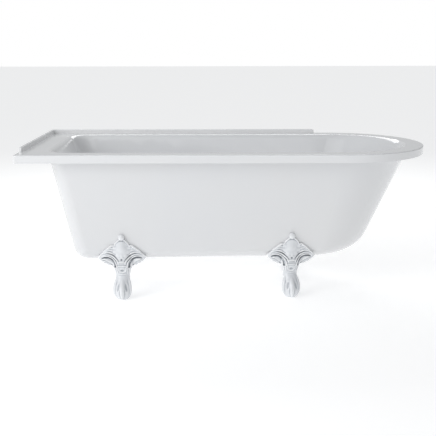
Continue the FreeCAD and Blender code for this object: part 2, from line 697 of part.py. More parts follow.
def plug_cartridge():
    foot = HUB_TOP - HUB_HEIGHT
    pieces = [ring(HUB, STEM + RUN, foot, HUB_TOP, WASTE_X),
              ring(NECK_BORE - RUN, NECK_BORE - HUB_RING, foot, HUB_TOP, WASTE_X)]
    for i in range(3):
        spoke = block(HUB - 1, NECK_BORE - HUB_RING + 1, -SPOKE / 2, SPOKE / 2,
                      foot + 1, HUB_TOP - 1)
        spoke.rotate(Vector(0, 0, 0), Vector(0, 0, 1), 120 * i)
        spoke.translate(Vector(WASTE_X, 0, 0))
        pieces.append(spoke)
    return join(pieces)


def plug_cap():
    foot = DISC_TOP + CAP_REST + CAP_SEAL
    dome = disc(CAP, foot, foot + CAP_THICK, WASTE_X)
    dome = dome.makeFillet(CAP_THICK * 0.7, top_edges(dome, foot + CAP_THICK))
    stop_top = HUB_TOP - HUB_HEIGHT - CAP_LIFT - STOP_CLEAR
    stem = disc(STEM, stop_top - 1, foot + 1, WASTE_X)
    stop = disc(STEM_STOP, stop_top - STOP_THICK, stop_top, WASTE_X)
    return join([dome, stem, stop])


def plug_seal():
    foot = DISC_TOP + CAP_REST
    return ring(CAP - CAP_SEAL, STEM + 6, foot, foot + CAP_SEAL, WASTE_X)


# ---- the overflow --------------------------------------------------------------------------------
def overflow_rose():
    centre, normal, up = overflow_place()
    rose = along(ROSE, 0.0, ROSE_THICK, centre, normal)
    face_edges = [edge for edge in rose.Edges
                  if (edge.CenterOfMass - centre).dot(normal) > ROSE_THICK - 0.01]
    rose = rose.makeFillet(ROSE_FACE, face_edges)
    rose = rose.cut(along(ROSE - ROSE_WALL, -1, ROSE_THICK - ROSE_FACE, centre, normal))
    across = normal.cross(up)
    for i in range(ROSE_HOLES):
        angle = 2 * math.pi / ROSE_HOLES * (i + 0.5)
        place = centre + (up * math.sin(angle) + across * math.cos(angle)) * ROSE_RING
        rose = rose.cut(along(ROSE_BORE, 0, ROSE_THICK + 1, place, normal))
    rose = rose.fuse(along(BOSS + 2, 0.0, ROSE_THICK - ROSE_FACE / 2, centre, normal))
    return rose.cut(along(SCREW + RUN, -1, ROSE_THICK + 1, centre, normal)).removeSplitter()


def overflow_screw():
    centre, normal, _ = overflow_place()
    head = along(BOSS, ROSE_THICK, ROSE_THICK + 2.5, centre, normal)
    shank = along(SCREW, ROSE_THICK - SCREW_LENGTH, ROSE_THICK, centre, normal)
    return head.fuse(shank).removeSplitter()


def overflow_seal():
    centre, normal, _ = overflow_place()
    seal = along(CUP, -SHELL - SEAL_THICK, -SHELL, centre, normal)
    return seal.cut(along(ROSE_HOLE - 1, -SHELL - SEAL_THICK - 1, 0, centre, normal))


def overflow_elbow():
    centre, normal, up = overflow_place()
    front = -SHELL - SEAL_THICK
    back = front - CUP_DEPTH
    cup = along(CUP, back, front, centre, normal)
    pipe_centre = centre - normal * HOSE_AXIS
    cup = cup.fuse(along(SPIGOT, CUP - 4, SPIGOT_REACH, pipe_centre, up * -1))
    cup = cup.cut(along(CUP - CUP_WALL, back + CUP_WALL, front + 1, centre, normal))
    cup = cup.cut(along(SPIGOT - SPIGOT_WALL, 5, SPIGOT_REACH + 1, pipe_centre, up * -1))
    cup = cup.fuse(along(BOSS, back + 1, front - 2, centre, normal))
    return cup.cut(along(SCREW + RUN, back + 2, front + 1, centre, normal)).removeSplitter()


def hose_route():
    """Down behind the basin's end wall, round one bend, and level into the waste body."""
    centre, normal, up = overflow_place()
    down = up * -1
    line = centre - normal * HOSE_AXIS
    start = line + down * HOSE_START
    corner = start + down * ((start.z - TEE_Z) / -down.z)
    end = Vector(WASTE_X - HOSE_END, 0, TEE_Z)
    level = Vector(1, 0, 0)
    turn = math.acos(down.dot(level))
    tangent = HOSE_BEND * math.tan(turn / 2)
    bend_in = corner - down * tangent
    bend_out = corner + level * tangent
    inward = (level - down).normalize()
    bend_mid = corner + inward * (HOSE_BEND / math.cos(turn / 2) - HOSE_BEND)
    return start, bend_in, bend_mid, bend_out, end


def hose_tube(radius):
    start, bend_in, bend_mid, bend_out, end = hose_route()
    edges = [Part.LineSegment(start, bend_in), Part.Arc(bend_in, bend_mid, bend_out),
             Part.LineSegment(bend_out, end)]
    path = Part.Wire([edge.toShape() for edge in edges])
    circle = Part.Circle(start, (bend_in - start).normalize(), radius)
    return path.makePipeShell([Part.Wire(circle.toShape())], True, False)


def overflow_hose():
    return hose_tube(HOSE).cut(hose_tube(HOSE_BORE))


def hose_clamps():
    start, bend_in, _, _, end = hose_route()
    down = (bend_in - start).normalize()
    clamps = []
    for place, axis in ((start, down), (end, Vector(-1, 0, 0))):
        band = along(HOSE + CLAMP + RUN, 6, 6 + CLAMP_WIDTH, place, axis)
        clamps.append(band.cut(along(HOSE + RUN, 0, 20, place, axis)))
    return clamps


# ---- write every piece ---------------------------------------------------------------------------
os.makedirs("parts", exist_ok=True)

rim = rim_block()
save("inner_shell", [inner_shell(rim)])
save("outer_skirt", [outer_skirt()])

save("rim_batten_front", [side_batten()])
save("rim_batten_rear", [mirrored(side_batten())])
save("rim_batten_left", [left_batten()])
save("rim_batten_curved", [curved_batten()])

back_strip, end_strip = upstands(rim)
save("upstand_back", [back_strip])
save("upstand_end", [end_strip])

inside_skirt = tub_solid(skirt, skirt.top, -SKIN)
save("base_board", [base_board(inside_skirt)])

near_skirt = tub_solid(skirt, skirt.top, TOUCH)
hugging_plate = tub_solid(skirt, skirt.top, TOUCH + SHIELD).cut(near_skirt)
for name in FEET:
    save("leg_block_" + name, [leg_block(name, inside_skirt)])
    save("foot_" + name, [claw_foot(name, near_skirt, hugging_plate)])
    save("leveller_pad_" + name, [put(pad(), name)])
    save("leveller_stud_" + name, [put(stud(), name)])

save("foot_gaskets", [put(gasket(), name) for name in FEET])
save("foot_bolts", on_bolts(bolt))
save("foot_washers", on_bolts(washer))
save("foot_inserts", on_bolts(insert))
save("leveller_lock_nuts", [put(lock_nut(), name) for name in FEET])

save("waste_flange", [waste_flange()])
save("waste_top_seal", [ring(FLANGE_DISC - 1, SHELL_HOLE, FLOOR_TOP - RECESS, DISC_FOOT, WASTE_X)])
save("waste_upper_seal", [ring(BODY, SHELL_HOLE, BODY_TOP, BOARD_TOP, WASTE_X)])
save("waste_body", [waste_body()])
save("waste_lower_seal", [ring(BODY, NECK_OUT + POCKET, NUT_TOP, BODY_FOOT, WASTE_X)])
save("waste_backnut", [waste_backnut()])
save("plug_cartridge", [plug_cartridge()])
save("plug_cap", [plug_cap()])
save("plug_seal", [plug_seal()])

save("overflow_rose", [overflow_rose()])
save("overflow_screw", [overflow_screw()])
save("overflow_seal", [overflow_seal()])
save("overflow_elbow", [overflow_elbow()])
save("overflow_hose", [overflow_hose()])
save("hose_clamps", hose_clamps())
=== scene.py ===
"""The looks of a freestanding bath: acrylic shell and skirt, cast claw feet, fittings, studio."""

import json
import math

import bpy
import numpy as np
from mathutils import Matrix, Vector
from mathutils.bvhtree import BVHTree

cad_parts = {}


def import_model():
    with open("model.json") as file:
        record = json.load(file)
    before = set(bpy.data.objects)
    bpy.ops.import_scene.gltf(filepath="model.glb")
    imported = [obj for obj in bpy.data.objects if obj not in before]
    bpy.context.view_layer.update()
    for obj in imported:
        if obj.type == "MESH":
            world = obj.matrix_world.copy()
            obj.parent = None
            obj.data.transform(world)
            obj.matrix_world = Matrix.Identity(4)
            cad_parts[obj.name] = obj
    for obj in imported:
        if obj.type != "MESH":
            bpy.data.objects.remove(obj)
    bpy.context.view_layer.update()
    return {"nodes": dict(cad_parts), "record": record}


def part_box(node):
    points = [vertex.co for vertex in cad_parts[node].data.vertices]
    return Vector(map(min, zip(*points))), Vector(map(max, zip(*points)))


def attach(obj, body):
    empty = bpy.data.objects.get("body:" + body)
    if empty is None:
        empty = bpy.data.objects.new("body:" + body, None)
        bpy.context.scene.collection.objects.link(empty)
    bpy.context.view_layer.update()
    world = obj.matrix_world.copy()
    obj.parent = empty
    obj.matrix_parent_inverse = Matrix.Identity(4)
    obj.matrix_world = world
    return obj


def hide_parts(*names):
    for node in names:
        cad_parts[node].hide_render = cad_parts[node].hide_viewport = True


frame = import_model()
nodes = frame["nodes"]

MM = 0.001

# ---- the claw feet, in millimetres, in a foot's own frame: -y outwards, z up from the floor -----
CLAY_STEP = 1.25                  # spacing of the grid that the casting is modelled on
CLAY_LOW = (-108.0, -54.0, -4.0)
CLAY_HIGH = (108.0, 132.0, 290.0)
RIGHT_TURN = 7.0                  # degrees that the right feet face outwards
SKIRT_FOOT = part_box("outer_skirt")[0].z / MM
LUG_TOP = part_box("foot_gaskets")[0].z / MM
LUG_THICK = 12.0
LUG_HALF_WIDTH = 34.0
LUG_REACH = 125.0
BOLT_REACH = 88.0
BOLT_SPACING = 40.0
BOLT_HOLE = 4.5
TOUCH = 0.3                       # casting to the skirt
PAD = 17.0                        # radius of the leveller's pad
PAD_POCKET = (PAD + 0.6, 6.6)     # radius and depth of the pad's pocket under the claw
NUT_POCKET = (10.4, 12.0)         # and of the lock nut's
STUD_BORE = (5.4, 66.0)           # and of the stud's bore
BEAD_TOP = 269.5                  # height of the finial bead's centre
BEAD = (13.5, 13.5, 13.8)         # its radii
BEAD_STAND = 7.0                  # its centre outside the skirt
PLATE_LEAN = 0.14                 # slope of the shield's back below the skirt's turn
HANG = 58.0                       # the shield leaves the skirt this far above the skirt's foot


# ---- shapes as signed distances: negative inside ------------------------------------------------
def soft_min(a, b, blend):
    near = np.maximum(blend - np.abs(a - b), 0.0) / blend
    return np.minimum(a, b) - near * near * blend / 4


def soft_max(a, b, blend):
    return -soft_min(-a, -b, blend)


def smooth_step(value, start, end):
    share = np.clip((value - start) / (end - start), 0.0, 1.0)
    return share * share * (3 - 2 * share)


def curve(points, per_span=8):
    """Points along a smooth curve through the given ones."""
    p = np.array([points[0], *points, points[-1]], float)
    t = np.linspace(0, 1, per_span, endpoint=False)[:, None]
    spans = []
    for a, b, c, d in zip(p, p[1:], p[2:], p[3:]):
        spans.append(b + (c - a) / 2 * t + (a - 2.5 * b + 2 * c - d / 2) * t ** 2
                     + (1.5 * b - 1.5 * c + (d - a) / 2) * t ** 3)
    return np.vstack([*spans, p[-1:]])


def bar(a, b, start_radius, end_radius):
    """A round bar between two points whose radius changes evenly."""
    a, b = np.array(a, float), np.array(b, float)
    run = b - a

    def distance(x, y, z):
        share = ((x - a[0]) * run[0] + (y - a[1]) * run[1] + (z - a[2]) * run[2]) / (run @ run)
        share = np.clip(share, 0.0, 1.0)
        off = [c - a[i] - share * run[i] for i, c in enumerate((x, y, z))]
        reach = np.sqrt(off[0] ** 2 + off[1] ** 2 + off[2] ** 2)
        return reach - start_radius - (end_radius - start_radius) * share
    return distance


def ball(centre, radii):
    """An ellipsoid."""
    def distance(x, y, z):
        off = [(c - centre[i]) / radii[i] for i, c in enumerate((x, y, z))]
        near = np.sqrt(off[0] ** 2 + off[1] ** 2 + off[2] ** 2) + 1e-6
        slope = np.sqrt(sum((o / radii[i]) ** 2 for i, o in enumerate(off))) + 1e-9
        return near * (near - 1) / slope
    return distance


def upright(radius, foot, top, x0=0.0, y0=0.0):
    """A round bar standing on end."""
    def distance(x, y, z):
        across = np.sqrt((x - x0) ** 2 + (y - y0) ** 2) - radius
        return np.maximum(across, np.maximum(foot - z, z - top))
    return distance


def plate(low, high, corner):
    """A flat plate with rounded plan corners."""
    middle = [(a + b) / 2 for a, b in zip(low, high)]
    half = [(b - a) / 2 for a, b in zip(low, high)]

    def distance(x, y, z):
        out_x = np.maximum(np.abs(x - middle[0]) - half[0] + corner, 0)
        out_y = np.maximum(np.abs(y - middle[1]) - half[1] + corner, 0)
        across = np.sqrt(out_x ** 2 + out_y ** 2) - corner
        return soft_max(across, np.abs(z - middle[2]) - half[2], 2.0)
    return distance


class Clay:
    """A solid on a grid of signed distances."""

    def __init__(self):
        self.axes = [np.arange(a, b, CLAY_STEP) for a, b in zip(CLAY_LOW, CLAY_HIGH)]
        self.field = np.full([len(axis) for axis in self.axes], 50.0, np.float32)

    def window(self, low, high):
        parts = tuple(slice(*np.searchsorted(axis, (a, b)))
                      for axis, a, b in zip(self.axes, low, high))
        spots = [axis[part] for axis, part in zip(self.axes, parts)]
        return parts, [s.reshape([-1 if i == j else 1 for j in range(3)])
                       for i, s in enumerate(spots)]

    def add(self, shape, low=CLAY_LOW, high=CLAY_HIGH, blend=2.0):
        part, spots = self.window(low, high)
        self.field[part] = soft_min(self.field[part], shape(*spots), blend)

    def cut(self, shape, low=CLAY_LOW, high=CLAY_HIGH, blend=1.0):
        part, spots = self.window(low, high)
        self.field[part] = soft_max(self.field[part], -shape(*spots), blend)

    def limb(self, points, radii, blend):
        """A bent bar through points, with its radius at each."""
        path = curve([(*p, r) for p, r in zip(points, radii)], 4)
        for a, b in zip(path, path[1:]):
            reach = max(a[3], b[3]) + 2 * blend + 4
            self.add(bar(a[:3], b[:3], a[3], b[3]), np.minimum(a, b)[:3] - reach,
                     np.maximum(a, b)[:3] + reach, blend)

    def surface(self):
        """Vertices, four-sided faces and how deep in a recess each vertex lies, which sets the
        painted shade.
        """
        field = self.field
        cells = np.array(field.shape) - 1
        total = np.zeros((cells.prod(), 3))
        count = np.zeros(cells.prod())
        quads = []
        for axis in range(3):
            a = np.moveaxis(field, axis, 0)[:-1]
            b = np.moveaxis(field, axis, 0)[1:]
            spot = np.argwhere((a < 0) != (b < 0))
            low, high = a[tuple(spot.T)], b[tuple(spot.T)]
            across = [i for i in range(3) if i != axis]
            index = np.empty_like(spot)
            index[:, [axis, *across]] = spot
            place = index.astype(float)
            place[:, axis] += low / (low - high)
            around = []
            for step_u, step_v in ((0, 0), (-1, 0), (-1, -1), (0, -1)):
                cell = index.copy()
                cell[:, across[0]] += step_u
                cell[:, across[1]] += step_v
                flat = np.ravel_multi_index(cell.T, cells)
                around.append(flat)
                for i in range(3):
                    total[:, i] += np.bincount(flat, place[:, i], len(total))
                count += np.bincount(flat, minlength=len(count))
            around = np.array(around).T
            turn = (low < 0) != (axis == 1)
            around[~turn] = around[~turn][:, ::-1]
            quads.append(around)
        used = np.flatnonzero(count)
        number = np.zeros(len(count), int)
        number[used] = np.arange(len(used))
        places = total[used] / count[used, None]
        faces = number[np.vstack(quads)]
        # how deep in a recess each vertex lies; the casting's finish turns this into painted shade
        hollow_shade = sample(blur(np.clip(0.5 - field / (2 * CLAY_STEP), 0, 1), 4), places)
        return places * CLAY_STEP + np.array(CLAY_LOW), faces, hollow_shade


def blur(values, wide):
    """A box average along each axis, over a number of steps to either side."""
    for axis in range(3):
        run = np.cumsum(np.moveaxis(values, axis, 0), 0, dtype=np.float64)
        start = np.concatenate([np.zeros_like(run[:1]), run[:-2 * wide - 1]])
        average = np.moveaxis(values, axis, 0).copy()
        average[wide:-wide] = (run[2 * wide:] - start) / (2 * wide + 1)
        values = np.moveaxis(average, 0, axis)
    return values


def sample(values, places):
    """Values on a grid, read evenly between its points."""
    base = np.clip(np.floor(places).astype(int), 0, np.array(values.shape) - 2)
    share = places - base
    result = np.zeros(len(places))
    for corner in np.ndindex(2, 2, 2):
        weight = np.prod(np.where(corner, share, 1 - share), axis=1)
        result += weight * values[tuple((base + corner).T)]
    return result


def relax(points, faces, rounds, amount=0.5):
    """Evens out the grid's fine steps without shrinking the form."""
    edges = np.vstack([faces[:, [i, (i + 1) % 4]] for i in range(4)])
    edges = np.vstack([edges, edges[:, ::-1]])
    count = np.bincount(edges[:, 0], minlength=len(points))[:, None]
    for turn in range(2 * rounds):
        nearby = np.stack([np.bincount(edges[:, 0], points[edges[:, 1], i], len(points))
                           for i in range(3)], 1) / count
        points = points + (nearby - points) * (amount if turn % 2 == 0 else -amount * 1.06)
    return points


# ---- the relief on a foot's front, over its half width u and its height z -----------------------
SHIELD = [(0, 285), (12, 262), (30, 243), (31, 236), (45, 236), (60, 224), (78, 210), (80, 204),
          (103, 183), (100, 179), (97, 171), (89, 168), (87, 161), (78, 158), (75, 151), (65, 150),
          (60, 144), (47.5, 142), (40, 139), (34, 128), (0, 120)]


def outline_distance(u, z, points):
    """Signed distance to a closed outline given for one half."""
    points = np.array(points, float)
    best = np.full(np.broadcast(u, z).shape, 1e9)
    inside = np.zeros(best.shape, bool)
    for a, b in zip(points, points[1:]):
        run = b - a
        share = np.clip(((u - a[0]) * run[0] + (z - a[1]) * run[1]) / (run @ run), 0, 1)
        best = np.minimum(best, np.hypot(u - a[0] - share * run[0], z - a[1] - share * run[1]))
        if run[1]:
            crosses = (z < max(a[1], b[1])) & (z >= min(a[1], b[1]))
            inside ^= crosses & (u < a[0] + (z - a[1]) / run[1] * run[0])
    return np.where(inside, -best, best)


def ridge(u, z, points, width, height, ends=(0.5, 0.5)):
    """A ridge along a smooth curve, narrower towards its ends; less than 0 high, a groove."""
    path = curve(points, 6)
    best = np.zeros(np.broadcast(u, z).shape)
    for i, (a, b) in enumerate(zip(path, path[1:])):
        run = b - a
        share = np.clip(((u - a[0]) * run[0] + (z - a[1]) * run[1]) / (run @ run), 0, 1)
        near = np.hypot(u - a[0] - share * run[0], z - a[1] - share * run[1])
        along = (i + share) / (len(path) - 1)
        size = np.interp(along, (0, 0.3, 0.7, 1), (ends[0], 1, 1, ends[1]))
        best = np.maximum(best, size * (1 - (near / (width * size)) ** 2))
    return height * best


def lobe(u, z, centre, radii, height, lean=0.0):
    """A plump oval, leaning by an angle in degrees."""
    c, s = math.cos(math.radians(lean)), math.sin(math.radians(lean))
    off_u, off_z = u - centre[0], z - centre[1]
    out = ((off_u * c + off_z * s) / radii[0]) ** 2 + ((off_z * c - off_u * s) / radii[1]) ** 2
    return height * np.sqrt(np.maximum(1 - out, 0))


def relief(x, z):
    """How far the carving stands out of the shield and the knee."""
    u = np.abs(x)
    edge = -outline_distance(u, z, SHIELD)
    high = np.zeros(edge.shape)
    low = np.zeros(edge.shape)

    def raise_by(amount):
        np.maximum(high, amount, out=high)

    def sink_by(amount):
        np.minimum(low, amount, out=low)

    # the raised border along the stepped shoulders
    raise_by(ridge(u, z, [(9, 259), (19, 252), (27.5, 242), (29, 233)], 4.2, 4.0, (1, 0.8)))
    raise_by(ridge(u, z, [(30, 232), (43, 232), (56, 222), (74, 207)], 4.2, 4.0, (0.8, 1)))
    raise_by(ridge(u, z, [(76, 202), (86, 194), (98, 184)], 4.0, 3.6, (1, 0.5)))
    # the smooth cartouche in the middle, its lower edge in lobes
    cartouche = lobe(u, z, (0, 225), (30, 29), 6.5)
    for centre, radii in (((29, 224), (10, 9)), ((26, 208), (12, 11)), ((14, 197), (12, 12)),
                          ((0, 193), (9, 11))):
        cartouche = soft_max(cartouche, lobe(u, z, centre, radii, 4.6), 3.0)
    raise_by(cartouche - 0.75)
    # feathers that fan out from beside the cartouche
    raise_by(ridge(u, z, [(39, 223), (48, 224), (58, 217)], 4.5, 3.4))
    raise_by(ridge(u, z, [(38, 213), (52, 215), (64, 210), (73, 203)], 4.5, 3.6))
    raise_by(ridge(u, z, [(30, 193), (42, 200), (56, 205), (72, 201), (86, 193)], 5.0, 4.6))
    # two bands that sweep from the wing tip over the arch down to the collar
    raise_by(ridge(u, z, [(15, 160), (20, 172), (35, 184), (52, 194), (72, 193), (92, 184)],
                   5.0, 5.4, (1, 0.6)))
    raise_by(ridge(u, z, [(22, 140), (25, 158), (34, 172), (52, 185), (70, 187), (92, 181)],
                   4.6, 5.8, (1, 0.6)))
    # the deep groove of the arch, and the leaf below it with its veins
    sink_by(ridge(u, z, [(29, 140), (31, 155), (40, 169), (55, 179), (72, 180), (84, 176)],
                  5.5, -8.0, (1, 0.5)))
    sink_by(ridge(u, z, [(12, 166), (19, 177), (34, 190), (48, 197), (62, 197)], 2.6, -3.5))
    raise_by(lobe(u, z, (66, 163), (31, 12.5), 6.5, 28.0))
    for end in ((90, 172), (80, 160), (68, 151)):
        sink_by(ridge(u, z, [(43, 150), ((43 + end[0]) / 2, 4 + (150 + end[1]) / 2), end],
                      2.2, -2.6, (0.6, 1)))
    sink_by(lobe(u, z, (45.5, 145), (4.5, 4.5), -7.0))
    # the collar: three rolls across the front of the knee
    wide = 1 - smooth_step(u, 17, 24)
    raise_by(5.0 * wide * np.maximum(1 - ((z - 164) / 6.0) ** 2, 0))
    raise_by(3.2 * wide * np.maximum(1 - ((z - 154.5) / 3.0) ** 2, 0))
    raise_by(4.4 * wide * np.maximum(1 - ((z - 147) / 4.2) ** 2, 0))
    sink_by(lobe(u, z, (0, 175), (5, 4.5), -4.0))
    # a tongue below the collar with a drilled eye, and flutes beside it
    raise_by(ridge(u, z, [(17, 141), (16.5, 130), (12, 120), (0, 115.5)], 3.6, 3.4, (1, 1)))
    sink_by(lobe(u, z, (0, 126), (8, 5.5), -3.6))
    for start, end in (((25, 141), (21, 106)), ((34, 137), (27, 106))):
        raise_by(ridge(u, z, [start, ((start[0] + end[0]) / 2 - 1, 122), end], 4.0, 3.0))
    raise_by(2.6 * (1 - smooth_step(u, 15, 21)) * np.maximum(1 - ((z - 107.5) / 3.4) ** 2, 0))
    return high + low, edge


LEG = [  # height, half width, half depth, how far the centre lies inwards
    (0, PAD + 2.6, PAD + 2.6, 0), (9, 26.5, 26.5, 0), (22, 33, 33, 0), (40, 35, 35, 0),
    (58, 32, 32, 2), (78, 28, 28, 11), (SKIRT_FOOT - 63, 29.5, 26, 25),
    (SKIRT_FOOT - 40, 34.5, 30, 23), (SKIRT_FOOT - 15, 41.5, 34, 18), (SKIRT_FOOT + 2, 40, 33, 14),
    (SKIRT_FOOT + 28, 36, 26, 12), (SKIRT_FOOT + HANG, 24, 15, 3),
    (SKIRT_FOOT + 80, 12, 8, 3), (SKIRT_FOOT + 110, 4, 3, 3)]


def leg(carving):
    """The leg from the floor to the shield, with the carving on its front."""
    levels = np.array(LEG, float).T

    def distance(x, y, z):
        smooth = [sum(np.interp(z + shift, levels[0], row) for shift in (-6, -3, 0, 3, 6)) / 5
                  for row in levels[1:]]
        half_width, half_depth, centre = smooth
        off_x, off_y = x / half_width, (y - centre) / half_depth
        near = np.sqrt(off_x ** 2 + off_y ** 2) + 1e-6
        slope = np.sqrt((off_x / half_width) ** 2 + (off_y / half_depth) ** 2) + 1e-9
        front = smooth_step(-off_y, 0.0, 0.5)
        return near * (near - 1) / slope - carving * front
    return distance


def skirt_wall(place, xs, zs):
    """Where the skirt's face lies in the foot's frame over x and z, read from the skirt itself."""
    depsgraph = bpy.context.evaluated_depsgraph_get()
    tree = BVHTree.FromObject(nodes["outer_skirt"], depsgraph)
    inwards = place(np.array([[0, 1, 0]]))[0] - place(np.array([[0, 0, 0]]))[0]
    wall = np.full((len(xs), len(zs)), 200.0)
    for i, x in enumerate(xs):
        for j, z in enumerate(zs):
            start = place(np.array([[x, -200, z]]))[0]
            hit = tree.ray_cast(Vector(start * MM), Vector(inwards))
            if hit[0] is not None:
                wall[i, j] = hit[3] / MM - 200
    return wall


def foot_place(foot):
    """A function from the foot's own frame to the bath's, both in millimetres."""
    low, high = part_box("leveller_pad_" + foot)
    centre = np.array([(low.x + high.x) / 2, (low.y + high.y) / 2, 0]) / MM
    turn = math.radians(RIGHT_TURN if foot.endswith("right") else 0.0)
    side = -1.0 if foot.startswith("rear") else 1.0
    c, s = math.cos(turn), math.sin(turn)

    def place(points):
        x, y, z = np.asarray(points, float).T
        return np.array([centre[0] + x * c - y * s, centre[1] + side * (x * s + y * c), z]).T
    return place


def wall_map(place, axes):
    """The skirt's face on the clay's grid, and the shield's back, which hangs on below it."""
    xs = np.linspace(CLAY_LOW[0], CLAY_HIGH[0], 28)
    zs = np.linspace(SKIRT_FOOT + 0.5, CLAY_HIGH[2], 41)
    coarse = skirt_wall(place, xs, zs)
    rows = np.array([np.interp(axes[2], zs, row) for row in coarse])
    wall = np.array([np.interp(axes[0], xs, column) for column in rows.T]).T
    hang_from = SKIRT_FOOT + HANG
    at = np.searchsorted(axes[2], hang_from)
    drop = np.maximum(hang_from - axes[2], 0)
    back = np.where(drop > 0, wall[:, at:at + 1] + PLATE_LEAN * drop + 0.0009 * drop ** 2,
                    wall)
    return wall, back


TOES = [  # direction in degrees from the front, then height, reach and radius down the toe
    (0, [(114, -4, 8), (100, 3, 10), (86, 11, 10.5), (70, 24, 10.5), (54, 32, 10), (38, 34, 9),
         (24, 32, 8), (12, 26, 5.5), (3, 19, 3.0)]),
    (70, [(114, 8, 6), (100, 17, 8), (86, 22.5, 8), (70, 29, 8), (54, 32.5, 8), (38, 33, 7.5),
          (24, 30.5, 6.5), (12, 25, 4.6), (3, 19, 2.8)]),
    (140, [(100, 14, 8), (80, 24, 8.5), (60, 31, 8.5), (38, 33, 7.5), (20, 29.5, 6.0),
           (6, 21, 3.5)])]
GAPS = [  # hollows either side of the middle toe: direction, then height, reach and radius
    (36, [(86, 23, 3.0), (76, 28, 5.5), (62, 34, 8.0), (48, 38, 7.0), (36, 41, 3.5)])]


def claw_foot(foot):
    """The vertices, faces and recess depths of one casting, in the foot's own frame; the depths
    set its painted shade.
    """
    place = foot_place(foot)
    clay = Clay()
    xs, zs = clay.axes[0], clay.axes[2]
    wall, back = wall_map(place, clay.axes)
    carving, edge = relief(xs[:, None], zs[None, :])
    carving, edge, wall, back = [m[:, None, :] for m in (carving, edge, wall, back)]
    tilt = math.cos(math.atan(PLATE_LEAN))

    def shield(x, y, z):
        thick = 8.0 + 4.0 * smooth_step(edge, 0, 40)
        front = (back - thick - y) * tilt - carving
        behind = y - back - 2.0 - 10.0 * smooth_step(-np.abs(x), -60, -30)
        return np.maximum(soft_max(front, -edge, 4.0), behind)

    clay.add(leg(carving))
    clay.add(shield, blend=6.0)
    skirt_at_bead = float(np.interp(269, zs, wall[len(xs) // 2, 0]))
    bead = (0.0, skirt_at_bead - BEAD_STAND, BEAD_TOP)
    reach = 22.0
    clay.add(ball(bead, BEAD), [b - reach for b in bead], [b + reach for b in bead])
    for angle, joints in TOES:
        for side in (-1, 1) if angle else (1,):
            sin, cos = math.sin(math.radians(side * angle)), math.cos(math.radians(angle))
            points = []
            for z, out, _ in joints:
                centre = np.interp(z, (40, 58, 78, 101), (0, 3, 12, 22))
                points.append((out * sin, centre - out * cos, z))
            clay.limb(points, [r for _, _, r in joints], 2.5)
    for angle, joints in GAPS:
        for side in (-1, 1):
            sin, cos = math.sin(math.radians(side * angle)), math.cos(math.radians(angle))
            path = curve([(out * sin, -out * cos, z, r) for z, out, r in joints], 4)
            for a, b in zip(path, path[1:]):
                clay.cut(bar(a[:3], b[:3], a[3], b[3]), np.minimum(a, b)[:3] - 12,
                         np.maximum(a, b)[:3] + 12, 2.0)
    clay.add(plate((-LUG_HALF_WIDTH, 10.0, LUG_TOP - LUG_THICK),
                   (LUG_HALF_WIDTH, LUG_REACH, LUG_TOP), 12.0), blend=5.0)
    fall = np.gradient(wall[:, 0], CLAY_STEP, axis=1)[:, None, :]
    clay.field = np.maximum(clay.field, np.minimum(
        clay.axes[2][None, None, :] - SKIRT_FOOT + TOUCH,
        (clay.axes[1][None, :, None] - wall + TOUCH) / np.sqrt(1 + fall ** 2)))
    clay.field = np.maximum(clay.field, -clay.axes[2][None, None, :]).astype(np.float32)
    clay.cut(upright(PAD_POCKET[0], -9, PAD_POCKET[1]))
    clay.cut(upright(NUT_POCKET[0], 0, NUT_POCKET[1]))
    clay.cut(upright(STUD_BORE[0], 0, STUD_BORE[1]))
    for side in (-1, 1):
        clay.cut(upright(BOLT_HOLE, LUG_TOP - 30, LUG_TOP + 9, side * BOLT_SPACING / 2,
                         BOLT_REACH))
    points, faces, hollow_shade = clay.surface()
    points = relax(points, faces, 3)
    points[:, 2] = np.maximum(points[:, 2], 0.0)
    return points, faces, hollow_shade


def make_mesh(name, points, faces):
    mesh = bpy.data.meshes.new(name)
    mesh.vertices.add(len(points))
    mesh.vertices.foreach_set("co", np.asarray(points, np.float32).ravel())
    sides = faces.shape[1]
    mesh.loops.add(faces.size)
    mesh.loops.foreach_set("vertex_index", faces.astype(np.int32).ravel())
    mesh.polygons.add(len(faces))
    mesh.polygons.foreach_set("loop_start", np.arange(0, faces.size, sides, dtype=np.int32))
    mesh.update(calc_edges=True)
    mesh.validate()
    mesh.shade_smooth()
    obj = bpy.data.objects.new(name, mesh)
    bpy.context.scene.collection.objects.link(obj)
    return obj


def put_feet(material):
    for foot in ("front_left", "front_right", "rear_left", "rear_right"):
        points, faces, hollow_shade = claw_foot(foot)
        if foot.startswith("rear"):
            faces = faces[:, ::-1]
        obj = make_mesh("claw_foot_" + foot, foot_place(foot)(points) * MM, faces)
        # the recess depth at each vertex, which the casting's finish turns into painted shade
        obj.data.attributes.new("hollow_shade", "FLOAT", "POINT").data.foreach_set(
            "value", hollow_shade.astype(np.float32))
        obj.data.materials.append(material)
        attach(obj, "bath")
        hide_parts("foot_" + foot)


# ---- materials ----------------------------------------------------------------------------------
def new_material(name, colour, roughness, **settings):
    """A Principled material; its constants sit on the shader's own sockets."""
    material = bpy.data.materials.new(name)
    material.use_nodes = True
    shader = material.node_tree.nodes["Principled BSDF"]
    shader.inputs["Base Color"].default_value = (*colour, 1.0)
    shader.inputs["Roughness"].default_value = roughness
    for socket, value in settings.items():
        shader.inputs[socket.replace("_", " ")].default_value = value
    return material


def noise(material, scale, detail=3.0, stretch=(1, 1, 1)):
    """The value of a noise over the piece's own coordinates."""
    tree = material.node_tree
    where = tree.nodes.new("ShaderNodeTexCoord")
    mapping = tree.nodes.new("ShaderNodeMapping")
    mapping.inputs["Scale"].default_value = stretch
    texture = tree.nodes.new("ShaderNodeTexNoise")
    texture.inputs["Scale"].default_value = scale
    texture.inputs["Detail"].default_value = detail
    tree.links.new(where.outputs["Object"], mapping.inputs["Vector"])
    tree.links.new(mapping.outputs["Vector"], texture.inputs["Vector"])
    return texture.outputs["Fac"]


